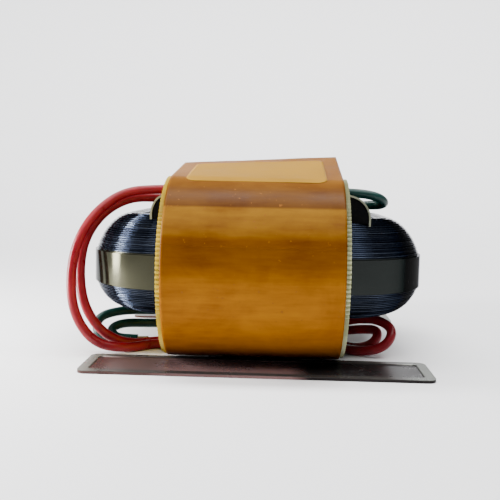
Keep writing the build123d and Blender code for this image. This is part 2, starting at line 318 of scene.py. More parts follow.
@dataclass(frozen=True)
class FilmFinish:
    """Satin amber film over tape, with clouds, streaks along X, specks, long soft waves, and painted shade
    and painted reflections in bands by height.
    """

    name: str = "amber film"
    light: Colour = (0.36, 0.130, 0.003)
    deep: Colour = (0.24, 0.074, 0.002)
    speck: Colour = (0.20, 0.07, 0.008)
    top: float = 48.0
    cloud_part: float = 0.6

    def levels(self) -> list[tuple[float, Colour]]:
        """Gives the painted light on the film by height, as places from 0 at the floor to 1 at the top and
        factors on its colour: painted shade under the coil, full on its lower half, browner above as a
        painted dark reflection, a paler band of painted reflection from 0.71 to 0.84, a brown band of
        painted dark reflection over it, and a painted sheen at the top."""
        return [
            (0.00, (0.10, 0.06, 0.10)),
            (0.055, (0.16, 0.10, 0.10)),
            (0.11, (0.68, 0.60, 0.50)),
            (0.30, (0.82, 0.84, 0.60)),
            (0.47, (0.74, 0.76, 0.55)),
            (0.56, (0.48, 0.45, 0.36)),
            (0.69, (0.40, 0.36, 0.30)),
            (0.71, (0.54, 0.62, 1.20)),
            (0.84, (0.60, 0.74, 1.60)),
            (0.85, (0.27, 0.26, 0.40)),
            (0.93, (0.32, 0.32, 0.60)),
            (1.00, (0.62, 0.72, 4.00)),
        ]

    def make(self) -> bpy.types.Material:
        """Builds the material."""
        paint = Paint(self.name)
        where = paint.place()
        cloud = paint.noise(where, 75.0, 5.0, 0.6, 0.4)
        streak = paint.noise(paint.place(scale=(12, 1, 90)), 9.0, 3.0, 0.55)
        clouded = paint.math("MULTIPLY", cloud, self.cloud_part)
        streaked = paint.math("MULTIPLY", streak, 1 - self.cloud_part)
        shade = paint.math("ADD", clouded, streaked)
        colour = paint.ramp(shade, [(0.36, self.deep), (0.62, self.light)])
        level = paint.axis(where, "Z")
        # painted shade and painted reflections: the colour is multiplied by bands by height
        painted_shade_and_reflection = paint.ramp(paint.range(level, 0.0, 1.0, 0.0, self.top * MM), self.levels())
        colour = paint.blend(1.0, colour, painted_shade_and_reflection, Mixing.MULTIPLY)
        specks = paint.range(paint.noise(where, 900.0, 2.0, 0.5), 0.0, 1.0, 0.69, 0.74)
        colour = paint.blend(specks, colour, self.speck)
        paint.into(colour, "Base Color")
        paint.into(paint.range(cloud, 0.30, 0.42, 0.3, 0.7), "Roughness")
        wave = paint.noise(paint.place(scale=(20, 30, 55)), 1.3, 2.0, 0.4)
        grain = paint.noise(where, 420.0, 3.0, 0.6)
        paint.into(paint.bump(grain, 0.01, 0.5, paint.bump(wave, 0.14, 0.5)), "Normal")
        paint.set(IOR=1.2, Specular_IOR_Level=0.2)
        return paint.material


@dataclass(frozen=True)
class PlainFinish:
    """A moulded, taped or coated surface: two close shades in soft clouds, fine grain in the bump."""

    name: str
    shade: Colour
    second: Colour
    rough: float = 0.5
    coat: float = 0.0
    cloud: float = 90.0
    grain: float = 900.0
    depth: float = 0.02
    metal: float = 0.0
    gloss: float = 0.5

    def make(self) -> bpy.types.Material:
        """Builds the material."""
        paint = Paint(self.name)
        where = paint.place()
        cloud = paint.noise(where, self.cloud, 4.0, 0.55)
        paint.into(paint.ramp(cloud, [(0.35, self.shade), (0.68, self.second)]), "Base Color")
        paint.into(paint.range(cloud, self.rough * 0.85, self.rough * 1.15, 0.3, 0.7), "Roughness")
        grain = paint.noise(where, self.grain, 3.0, 0.6)
        paint.into(paint.bump(grain, self.depth, 0.6), "Normal")
        paint.set(Metallic=self.metal, Coat_Weight=self.coat, Coat_Roughness=0.12)
        paint.set(Specular_IOR_Level=self.gloss)
        return paint.material


@dataclass(frozen=True)
class LacquerFinish:
    """Black-blue lacquer over wound strip. The outermost turn is a smooth band, with a painted reflection
    that is olive at the left and near black at the right. Above and below it the edges of the turns
    show as fine level lines, with painted glints on some of them."""

    name: str = "lacquered strip"
    shade: Colour = (0.009, 0.012, 0.021)
    # painted glint colour for some crests of the level lines
    edge: Colour = (0.075, 0.090, 0.120)
    # painted reflection: the band and sheen colours below are light at the left end and dark at the right end
    band: Colour = (0.036, 0.035, 0.022)
    dark_band: Colour = (0.016, 0.018, 0.017)
    sheen: Colour = (0.50, 0.50, 0.52)
    dark_sheen: Colour = (0.05, 0.055, 0.08)
    band_low: float = 18.9
    band_high: float = 27.9
    line_pitch: float = 0.5
    line_sway: float = 9.0
    band_edge: float = 0.15
    fade: float = 22.0

    def make(self) -> bpy.types.Material:
        """Builds the material."""
        paint = Paint(self.name)
        where = paint.place()
        height = paint.axis(where, "Z")
        above = paint.range(height, 0.0, 1.0, self.band_high * MM, (self.band_high + self.band_edge) * MM)
        below = paint.range(height, 1.0, 0.0, (self.band_low - self.band_edge) * MM, self.band_low * MM)
        lined = paint.math("ADD", above, below)
        sway = paint.noise(paint.place(scale=(9, 9, 260)), 1.0, 2.0, 0.5)
        level_phase = paint.math("MULTIPLY", height, 2 * math.pi / (self.line_pitch * MM))
        phase = paint.math("ADD", level_phase, paint.math("MULTIPLY", sway, self.line_sway))
        wave = paint.math("MULTIPLY", paint.math("SINE", phase, 0.0), lined)
        uneven = paint.noise(paint.place(scale=(26, 26, 900)), 1.0, 2.0, 0.6)
        crest = paint.range(wave, 0.0, 1.0, 0.35, 0.95)
        # painted glints on some crests of the level lines
        glint = paint.math("MULTIPLY", crest, paint.range(uneven, 0.15, 1.0, 0.35, 0.65))
        # painted reflection along X: band colour and reflection tint go from light at the left to dark at the
        # right
        along = paint.range(paint.axis(where, "X"), 0.0, 1.0, -self.fade * MM, self.fade * MM)
        band = paint.blend(along, self.band, self.dark_band)
        ground = paint.blend(lined, band, self.shade)
        paint.into(paint.blend(along, self.sheen, self.dark_sheen), "Specular Tint")
        paint.into(paint.blend(glint, ground, self.edge), "Base Color")
        cloud = paint.noise(where, 110.0, 5.0, 0.6, 0.3)
        paint.into(paint.range(cloud, 0.06, 0.20, 0.3, 0.75), "Roughness")
        pool = paint.noise(where, 60.0, 2.0, 0.4)
        paint.into(paint.bump(wave, 0.10, 0.7, paint.bump(pool, 0.15, 0.3)), "Normal")
        paint.set(Metallic=0.92, IOR=1.3)
        return paint.material


@dataclass(frozen=True)
class BrightSteelFinish:
    """Bright plated sheet: near mirror, with rolling lines along X and small dull patches."""

    name: str = "bright plated steel"
    shade: Colour = (0.62, 0.62, 0.63)
    dull: float = 0.72

    def make(self) -> bpy.types.Material:
        """Builds the material."""
        paint = Paint(self.name)
        where = paint.place()
        cloud = paint.noise(where, 45.0, 4.0, 0.6, 0.5)
        low = tuple(part * self.dull for part in self.shade)
        paint.into(paint.ramp(cloud, [(0.35, low), (0.6, self.shade)]), "Base Color")
        paint.into(paint.range(cloud, 0.09, 0.24, 0.3, 0.75), "Roughness")
        lines = paint.noise(paint.place(scale=(14, 900, 900)), 1.0, 2.0, 0.5)
        dent = paint.noise(where, 28.0, 2.0, 0.4)
        paint.into(paint.bump(lines, 0.004, 0.5, paint.bump(dent, 0.2, 0.4)), "Normal")
        paint.set(Metallic=1.0)
        return paint.material


@dataclass(frozen=True)
class RailFinish:
    """Dark polished plating of the base, its colour along X painted light: a pan that is dark brown at
    the left end, lighter brown in the middle where the coils shade it, and near black at the right, and
    a rim, told from the pan by its height, that is dark along the rail and olive-grey at its ends as a
    painted reflection. The tint of its reflections fades from the left to the right as painted reflection."""

    name: str = "polished base plate"
    # painted light: the pan's colours along X, and an olive-grey painted reflection for the rim's ends
    left: Colour = (0.085, 0.050, 0.046)
    middle: Colour = (0.23, 0.135, 0.13)
    right: Colour = (0.022, 0.019, 0.019)
    rim: Colour = (0.055, 0.050, 0.046)
    rim_end_painted_reflection: Colour = (0.17, 0.18, 0.16)
    left_sheen: Colour = (0.60, 0.48, 0.46)
    right_sheen: Colour = (0.20, 0.19, 0.20)
    pan_level: float = 0.62
    rim_level: float = 0.76
    painted_light_from: float = -43.0
    painted_light_to: float = 30.0
    end_from: float = 36.0
    end_to: float = 40.0
    worn: Colour = (0.7, 0.7, 0.7)
    whole: Colour = (1.0, 1.0, 1.0)

    def make(self) -> bpy.types.Material:
        """Builds the material."""
        paint = Paint(self.name)
        where = paint.place()
        along = paint.range(paint.axis(where, "X"), 0.0, 1.0, self.painted_light_from * MM, self.painted_light_to * MM)
        left, middle = [(0.0, self.left), (0.24, self.left)], [(0.36, self.middle), (0.72, self.middle)]
        # painted light along X, lighter where the coils shade the pan and near black at the right
        pan = paint.ramp(along, [*left, *middle, (0.78, self.right)])
        high = paint.range(paint.axis(where, "Z"), 0.0, 1.0, self.pan_level * MM, self.rim_level * MM)
        reach = paint.math("ABSOLUTE", paint.axis(where, "X"), 0.0)
        at_end = paint.range(reach, 0.0, 1.0, self.end_from * MM, self.end_to * MM)
        # painted reflection on the rim's ends
        rim = paint.blend(at_end, self.rim, self.rim_end_painted_reflection)
        colour = paint.blend(high, pan, rim)
        cloud = paint.noise(where, 45.0, 4.0, 0.6, 0.5)
        worn = paint.ramp(cloud, [(0.35, self.worn), (0.65, self.whole)])
        colour = paint.blend(1.0, colour, worn, Mixing.MULTIPLY)
        paint.into(colour, "Base Color")
        paint.into(paint.range(cloud, 0.22, 0.38, 0.3, 0.75), "Roughness")
        lines = paint.noise(paint.place(scale=(14, 900, 900)), 1.0, 2.0, 0.5)
        dent = paint.noise(where, 28.0, 2.0, 0.4)
        paint.into(paint.bump(lines, 0.004, 0.5, paint.bump(dent, 0.1, 0.3)), "Normal")
        # painted reflection: the tint of reflections fades from the left to the right
        paint.into(paint.blend(along, self.left_sheen, self.right_sheen), "Specular Tint")
        paint.set(Metallic=0.35, Specular_IOR_Level=0.15)
        return paint.material


@dataclass(frozen=True)
class BobbinFinish:
    """Bobbin plastic, yellow at the left and fading along X to a grey-green painted shade at the right."""

    name: str = "bobbin plastic"
    left: Colour = (0.62, 0.43, 0.035)
    right: Colour = (0.36, 0.37, 0.20)
    fade: float = 22.0
    dull: Colour = (0.72, 0.72, 0.72)
    whole: Colour = (1.0, 1.0, 1.0)

    def make(self) -> bpy.types.Material:
        """Builds the material."""
        paint = Paint(self.name)
        where = paint.place()
        along = paint.range(paint.axis(where, "X"), 0.0, 1.0, -self.fade * MM, self.fade * MM)
        cloud = paint.noise(where, 240.0, 3.0, 0.5)
        shade = paint.ramp(cloud, [(0.35, self.dull), (0.65, self.whole)])
        # painted shade along X: grey-green towards the right
        colour = paint.blend(along, self.left, self.right)
        paint.into(paint.blend(1.0, colour, shade, Mixing.MULTIPLY), "Base Color")
        paint.into(paint.bump(paint.noise(where, 900.0, 3.0, 0.6), 0.02, 0.5), "Normal")
        paint.set(Roughness=0.35, IOR=1.4)
        return paint.material


@dataclass(frozen=True)
class WireFinish:
    """Enamelled wire wound side by side: fine ridges across X, in the bump and in the colour, with painted
    shade in the grooves between turns.
    """

    name: str = "enamelled wire"
    shade: Colour = (0.42, 0.13, 0.035)
    gap: Colour = (0.12, 0.03, 0.01)
    pitch: float = 0.6
    bands_per_unit: float = 20.0

    def make(self) -> bpy.types.Material:
        """Builds the material."""
        paint = Paint(self.name)
        wave = paint.add("ShaderNodeTexWave", wave_type="BANDS", bands_direction="X")
        wave.inputs["Scale"].default_value = 2 * math.pi / (self.pitch * MM) / self.bands_per_unit
        wave.inputs["Distortion"].default_value = 0.4
        paint.link(paint.place(), wave.inputs["Vector"])
        # painted shade: the darker gap colour lies in the grooves between turns
        paint.into(paint.ramp(wave.outputs["Fac"], [(0.1, self.gap), (0.6, self.shade)]), "Base Color")
        paint.into(paint.bump(wave.outputs["Fac"], 0.15, 0.8), "Normal")
        paint.set(Metallic=0.6, Roughness=0.35, Coat_Weight=0.6)
        return paint.material


@dataclass(frozen=True)
class LeadFinish:
    """Lead insulation: waxy gloss, two close shades in soft clouds and faint handling marks."""

    name: str
    shade: Colour
    second: Colour
    light_reach: float = 0.5

    def make(self) -> bpy.types.Material:
        """Builds the material."""
        paint = Paint(self.name)
        where = paint.place()
        cloud = paint.noise(where, 160.0, 4.0, 0.6)
        paint.into(paint.ramp(cloud, [(0.36, self.shade), (0.70, self.second)]), "Base Color")
        paint.into(paint.range(cloud, 0.24, 0.42, 0.3, 0.7), "Roughness")
        marks = paint.noise(where, 700.0, 3.0, 0.6)
        paint.into(paint.bump(marks, 0.03, 0.5), "Normal")
        paint.set(IOR=1.32, Subsurface_Weight=0.05)
        paint.set(Subsurface_Radius=(0.6, 0.2, 0.15), Subsurface_Scale=self.light_reach * MM)
        return paint.material


# Sub-assemblies


@dataclass
class Jacket:
    """The film round both coils, open below, with its ridge over the gap between them."""

    coil_radius: float = 23.3
    thickness: float = 0.25
    crown: float = 7.0
    axis_height: float = 24.5
    half_length: float = 21.9
    tuck: float = math.radians(25.0)
    rise_left: float = 3.6
    rise_right: float = 6.0
    lap_height: float = 0.1
    lap_angle: float = math.radians(97.0)
    label_front: float = -33.4
    label_back: float = -6.0
    label_half: float = 17.8
    label_corner: float = 2.5
    label_lift: float = 0.12
    label_clear: float = 0.14
    round_end: float = 0.62
    ridge_start: float = 0.93
    film_lift: float = 0.04
    rear_drop: float = 0.02
    lap_sharpness: float = 700.0
    lap_skew: float = 0.0008

    def rise(self, x: np.ndarray) -> np.ndarray:
        """Rise of the ridge above the coils' tops, which grows evenly along X."""
        share = (x + self.half_length) / (2 * self.half_length)
        return self.rise_left + share * (self.rise_right - self.rise_left)

    def slope(self, x: np.ndarray) -> np.ndarray:
        """Slope of the film's straight run: the angle of the line from the coil's centre to the
        ridge's centre, less the angle that the difference of the two radii makes."""
        height = self.coil_radius + self.rise(x) - self.crown
        reach = np.hypot(Coil.REAR.value, height)
        return np.arctan2(height, Coil.REAR.value) - np.arcsin((self.coil_radius - self.crown) / reach)

    def front_half(self, x: np.ndarray, share: np.ndarray, lift: np.ndarray) -> np.ndarray:
        """Points of the front half of the film's outer face.

        Up to share round_end they lie on the coil's circle, from the tuck round the front to where
        the straight run starts; up to ridge_start on the straight run; and after it on the ridge's
        circle.

        Args:
            x: X of each point.
            share: place of each point along the film's line, from 0 at the tuck to 1 at the ridge.
            lift: height of each point above the film's outer face.

        Returns:
            Array of points with a last axis of 3.
        """
        radius = self.coil_radius + self.thickness + lift
        crown = self.crown + self.thickness + lift
        slope = self.slope(x)
        ridge_centre = self.axis_height + self.coil_radius + self.rise(x) - self.crown
        angle = -self.tuck + np.clip(share / self.round_end, 0, 1) * (math.pi - slope + self.tuck)
        y = Coil.FRONT.value - radius * np.sin(angle)
        z = self.axis_height - radius * np.cos(angle)
        end_y, end_z = -crown * np.sin(slope), ridge_centre + crown * np.cos(slope)
        along = np.clip((share - self.round_end) / (self.ridge_start - self.round_end), 0, 1)
        y, z = y + along * (end_y - y), z + along * (end_z - z)
        turn = -slope * (1 - np.clip((share - self.ridge_start) / (1 - self.ridge_start), 0, 1))
        on_ridge = share > self.ridge_start
        y = np.where(on_ridge, crown * np.sin(turn), y)
        z = np.where(on_ridge, ridge_centre + crown * np.cos(turn), z)
        return np.stack([x, y, z], axis=-1)

    def ripple(self, x: np.ndarray, share: np.ndarray) -> np.ndarray:
        """Height of soft waves in the film, from a product of two sines and a third sine, which die
        out at its two edges, plus the step where the outer turn of film ends on the front."""
        inside = np.cos(0.5 * np.pi * x / self.half_length) ** 0.5
        wave = 0.05 * np.sin(0.21 * x + 9.0 * share) * np.sin(17.0 * share + 0.6)
        wave = wave + 0.03 * np.sin(0.43 * x - 23.0 * share)
        angle = -self.tuck + np.clip(share / self.round_end, 0, 1) * math.pi
        past = angle - self.lap_angle - self.lap_skew * x
        step = 1 / (1 + np.exp(-past * self.lap_sharpness))
        return self.film_lift + inside * wave + self.lap_height * step

    def shares(self) -> np.ndarray:
        """Places along the film's line, packed where the film is bent most and at the lap."""
        round_part = np.linspace(0, self.round_end, 150, endpoint=False)
        lap = self.round_end * (self.lap_angle + self.tuck) / math.pi
        fine = lap + np.linspace(-0.004, 0.004, 15)
        straight = np.linspace(self.round_end, self.ridge_start, 24, endpoint=False)
        ridge = np.linspace(self.ridge_start, 1.0, 14)
        return np.unique(np.concatenate([round_part, fine, straight, ridge]))

    def film(self) -> bpy.types.Object:
        """Builds the film as one grid from the front tuck over the ridge to the rear tuck."""
        x = np.linspace(-self.half_length, self.half_length, 72)
        share = self.shares()
        across, along = np.meshgrid(x, share, indexing="xy")
        front = self.front_half(across, along, self.ripple(across, along))
        back = self.front_half(across, along, self.ripple(-across, along * 0.97) - self.rear_drop)
        back = back[::-1] * np.array([1, -1, 1])
        film = grid_object("film_wrap", np.concatenate([front, back[1:]]))
        turn_outwards(film)
        self.face_up(film)
        wall = film.modifiers.new("film thickness", "SOLIDIFY")
        wall.thickness = self.thickness * MM
        wall.offset = -1
        return film

    def face_up(self, thing: bpy.types.Object) -> None:
        """Turns an open sheet so that its topmost face points up."""
        mesh = thing.data
        top = max(mesh.polygons, key=lambda face: face.center.z)
        if top.normal.z < 0:
            mesh.flip_normals()

    def label(self) -> bpy.types.Object:
        """Builds the blank label on the front slope. Its half width shrinks at its two long edges as
        a quarter circle does, which rounds its corners."""
        depth = self.label_back - self.label_front
        v = 0.5 - 0.5 * np.cos(np.linspace(0, np.pi, 70))
        y = self.label_front + v * depth
        edge = np.minimum(y - self.label_front, self.label_back - y)
        cut = np.clip(self.label_corner - edge, 0, self.label_corner)
        half = self.label_half - self.label_corner + np.sqrt(self.label_corner**2 - cut**2)
        s = np.linspace(-1, 1, 60)
        x = s[None, :] * half[:, None]
        rows = np.broadcast_to(y[:, None], x.shape)
        points = np.stack([x, rows, self.height(x, rows) + self.label_clear + self.label_lift], axis=-1)
        label = grid_object("blank_label", points)
        turn_outwards(label)
        self.face_up(label)
        wall = label.modifiers.new("label thickness", "SOLIDIFY")
        wall.thickness = self.label_lift * MM
        wall.offset = -1
        return label

    def height(self, x: np.ndarray, y: np.ndarray) -> np.ndarray:
        """Height of the film's outer face at a place on its front half: the coil's circle before the
        straight run, the run's line, and the ridge's circle near the middle."""
        radius = self.coil_radius + self.thickness
        crown = self.crown + self.thickness
        slope = self.slope(x)
        ridge_centre = self.axis_height + self.coil_radius + self.rise(x) - self.crown
        start_y = Coil.FRONT.value - radius * np.sin(slope)
        start_z = self.axis_height + radius * np.cos(slope)
        end_y, end_z = -crown * np.sin(slope), ridge_centre + crown * np.cos(slope)
        share = (y - start_y) / (end_y - start_y)
        line = start_z + share * (end_z - start_z)
        circle = self.axis_height + np.sqrt(np.clip(radius**2 - (y - Coil.FRONT.value) ** 2, 0, None))
        ridge = ridge_centre + np.sqrt(np.clip(crown**2 - y**2, 0, None))
        return np.where(y < start_y, circle, np.where(y > end_y, ridge, line))

    def build(self) -> None:
        """Makes and dresses the film and the label."""
        film = self.film()
        film.data.materials.append(FilmFinish().make())
        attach(film, "root")
        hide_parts("film_jacket")
        label = self.label()
        paper = PlainFinish(
            "blank label", (0.28, 0.145, 0.014), (0.33, 0.175, 0.02),
            cloud=60, grain=700, depth=0.01, gloss=0.05,
        )
        label.data.materials.append(paper.make())
        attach(label, "root")
        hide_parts("rating_label")
        LOG.info("jacket: film and label")


@dataclass
class WoundCore:
    """The wound core: many turns of strip whose width changes, so the section is an oval."""

    height: float = 26.2
    build_up: float = 21.2
    window_length: float = 47.4
    window_width: float = 28.8
    corner: float = 2.5
    axis_height: float = 24.5
    turns: int = 60
    widest_share: float = 0.945
    band_drop: float = 1.2
    inset: float = 0.03
    sharp_angle: float = math.radians(35)

    def section(self) -> tuple[np.ndarray, np.ndarray]:
        """Offsets from the window and heights of the section's corners, once round. Each turn is a
        step: its half height is that of an ellipse across the build, held level for the turns at the
        two sides. The levels then sag by band_drop in the middle and not at all at the top."""
        edges = np.linspace(0, self.build_up, self.turns + 1)
        middle = 0.5 * (edges[1:] + edges[:-1])
        across = np.clip(2 * middle / self.build_up - 1, -self.widest_share, self.widest_share)
        half = 0.5 * self.height * np.sqrt(1 - across**2)
        jitter = 0.05 * np.sin(np.arange(self.turns) * 2.4) + 0.03 * np.sin(np.arange(self.turns) * 5.1)
        half = half + np.where(np.abs(across) < self.widest_share, jitter, 0) - self.inset
        offset = np.repeat(edges, 2)[1:-1]
        level = np.repeat(half, 2)
        offsets = np.concatenate([offset, offset[::-1]])
        levels = np.concatenate([level, -level[::-1]])
        sag = self.band_drop * (1 - (2 * levels / self.height) ** 2)
        return offsets, levels - sag

    def ring(self) -> tuple[np.ndarray, np.ndarray]:
        """Places and outward directions once round the window: corner centres with directions that
        turn by a quarter, and straight sides in between."""
        half_x = self.window_length / 2 - self.corner
        half_y = self.window_width / 2 - self.corner
        centres, normals = [], []
        turn = np.linspace(0, np.pi / 2, 25)
        for quarter, (sx, sy) in enumerate(((1, 1), (-1, 1), (-1, -1), (1, -1))):
            angle = turn + quarter * np.pi / 2
            centres.append(np.broadcast_to([sx * half_x, sy * half_y], (len(turn), 2)))
            normals.append(np.stack([np.cos(angle), np.sin(angle)], axis=-1))
        return np.concatenate(centres), np.concatenate(normals)

    def build(self) -> None:
        """Makes and dresses the core: each point is a place on the ring plus its direction times the
        corner's radius and the offset."""
        offsets, levels = self.section()
        centres, normals = self.ring()
        flat = centres[:, None] + normals[:, None] * (self.corner + offsets)[None, :, None]
        high = np.broadcast_to(self.axis_height + levels, flat.shape[:2])
        grid = np.concatenate([flat, high[..., None]], axis=-1)
        core = grid_object("wound_core", grid, close_rows=True, close_columns=True)
        turn_outwards(core)
        core.data.set_sharp_from_angle(angle=self.sharp_angle)
        core.data.materials.append(LacquerFinish().make())
        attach(core, "root")
        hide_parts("core")
        LOG.info("core: %d turns", self.turns)


@dataclass
class Leads:
    """Four bare-ended leads with their joint sleeves on the front coil."""

    diameter: float = 2.6
    sleeve_radius: float = 1.8
    sleeve_length: float = 15.0
    strand_radius: float = 0.25
    tip_length: float = 3.0
    routes: dict[str, list[Point]] = field(default_factory=dict)
    lengths: dict[str, float] = field(default_factory=dict)

    def curve(self, name: str, points: list[Point]) -> bpy.types.Object:
        """Makes a lead as one smooth line with a round section.

        Args:
            name: the lead's name.
            points: control points in millimetres.

        Returns:
            The curve object.
        """
        line = bpy.data.curves.new(name + "_insulation", "CURVE")
        line.dimensions = "3D"
        line.resolution_u = 10
        spline = line.splines.new("NURBS")
        spline.points.add(len(points) - 1)
        places = np.array([(*point, 1 / MM) for point in points]) * MM
        spline.points.foreach_set("co", places.ravel())
        spline.order_u = 3
        spline.use_endpoint_u = True
        line.bevel_depth = self.diameter / 2 * MM
        line.bevel_resolution = 5
        line.use_fill_caps = True
        thing = bpy.data.objects.new(name + "_insulation", line)
        bpy.context.scene.collection.objects.link(thing)
        return thing

    def strands(self, name: str, points: list[Point]) -> bpy.types.Object:
        """Makes the tinned strands at a lead's end: one straight strand and six round it, each a
        helix about the line of the last run."""
        end = np.array(points[-1])
        ahead = end - np.array(points[-2])
        ahead /= np.linalg.norm(ahead)
        side = np.cross(ahead, (0, 0, 1.0))
        side /= np.linalg.norm(side)
        up = np.cross(side, ahead)
        along = np.linspace(-0.4, self.tip_length, 18)
        pieces = []
        for strand in range(7):
            reach = 0.0 if strand == 0 else 2.02 * self.strand_radius
            angle = strand * math.pi / 3 + along * 0.55
            path = end + along[:, None] * ahead
            path = path + reach * (np.cos(angle)[:, None] * side + np.sin(angle)[:, None] * up)
            grid = capped(tube_grid(path, self.strand_radius, 10))
            pieces.append(grid_object(f"{name}_strand_{strand}", grid, close_columns=True))
        bundle = join_up(name + "_strands", pieces)
        turn_outwards(bundle)
        return bundle

    def sleeve(self, name: str, start: Point) -> bpy.types.Object:
        """Makes a shrunk sleeve: a round along X whose radius dips at its ends and swells a little
        over the joint, as a sum of a level and two cosines."""
        side = -1.0 if start[0] > 0 else 1.0
        share = np.linspace(0, 1, 60)
        x = start[0] + side * self.sleeve_length * share
        swell = 0.06 * np.cos(2 * np.pi * (share - 0.45)) + 0.03 * np.cos(14 * share + 1.0)
        radius = self.sleeve_radius - 0.1 + np.clip(swell, -0.1, 0.1)
        radius = radius * np.clip(0.80 + 8 * np.minimum(share, 1 - share), 0.80, 1)
        angle = np.linspace(0, 2 * np.pi, 28, endpoint=False)
        y = start[1] + radius[:, None] * np.cos(angle)
        z = start[2] + radius[:, None] * np.sin(angle)
        grid = np.stack([np.broadcast_to(x[:, None], y.shape), y, z], axis=-1)
        sleeve = grid_object(name + "_shrunk_sleeve", capped(grid), close_columns=True)
        turn_outwards(sleeve)
        return sleeve

    def build(self) -> None:
        """Makes and dresses all leads, sleeves and ends."""
        insulation = {
            "red": LeadFinish("red insulation", (0.15, 0.004, 0.009), (0.24, 0.008, 0.014)).make(),
            "green": LeadFinish("green insulation", (0.002, 0.020, 0.016), (0.004, 0.036, 0.030)).make(),
        }
        shrunk = {
            "red": LeadFinish("red sleeve", (0.22, 0.012, 0.014), (0.30, 0.02, 0.02)).make(),
            "green": LeadFinish("green sleeve", (0.004, 0.035, 0.028), (0.008, 0.055, 0.045)).make(),
        }
        tin = PlainFinish("tinned strands", (0.52, 0.48, 0.42), (0.66, 0.62, 0.56), 0.3, metal=1.0).make()
        for name, points in self.routes.items():
            colour = name.split("_")[0]
            lead = self.curve(name, points)
            lead.data.materials.append(insulation[colour])
            strands = self.strands(name, points)
            strands.data.materials.append(tin)
            sleeve = self.sleeve(name, points[0])
            sleeve.data.materials.append(shrunk[colour])
            for piece in (lead, strands, sleeve):
                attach(piece, "root")
            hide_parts(name)
            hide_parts(name + "_tip")
            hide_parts(name + "_joint")
            LOG.info("lead %s", name)


@dataclass
class FrameDress:
    """Finishes for the nodes that keep their shape from the frame."""

    def paint_nodes(self, names: list[str], material: bpy.types.Material) -> None:
        """Puts one material on some of the frame's nodes."""
        for name in names:
            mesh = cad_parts[name].data
            mesh.materials.clear()
            mesh.materials.append(material)

    def build(self) -> None:
        """Dresses the bobbins, windings, tapes, base, clamp and guards."""
        both = ("front", "rear")
        self.paint_nodes(
            [f"bobbin_{coil}_{half}" for coil in both for half in ("upper", "lower")],
            BobbinFinish().make(),
        )
        wire = WireFinish().make()
        self.paint_nodes([f"primary_winding_{coil}" for coil in both], wire)
        self.paint_nodes([f"secondary_winding_{coil}" for coil in both], wire)
        tape = PlainFinish("yellow tape", (0.62, 0.36, 0.05), (0.70, 0.44, 0.08), 0.35, 0.5).make()
        self.paint_nodes([f"interlayer_tape_{coil}" for coil in both], tape)
        self.paint_nodes([f"coil_tape_{coil}" for coil in both], tape)
        self.paint_nodes(["base_plate"], RailFinish().make())
        zinc = BrightSteelFinish("zinc plating", (0.55, 0.56, 0.58)).make()
        self.paint_nodes(["clamp_stud", "clamp_bar", "clamp_washer", "clamp_nut"], zinc)
        self.paint_nodes(
            ["stud_sleeve"], PlainFinish("natural tube", (0.62, 0.58, 0.48), (0.70, 0.66, 0.56), 0.4).make()
        )
        sides = ("left", "right")
        self.paint_nodes(
            [f"guard_sheet_{side}" for side in sides],
            PlainFinish("insulating sheet", (0.12, 0.125, 0.085), (0.22, 0.225, 0.155), 0.4).make(),
        )
        # painted shade: the black guard blocks stand in for the shade under the guards' arches
        self.paint_nodes(
            [f"guard_block_{side}" for side in sides],
            PlainFinish("black filler", (0.001, 0.001, 0.002), (0.003, 0.003, 0.003), 0.8, gloss=0.05).make(),
        )
        LOG.info("frame nodes dressed")


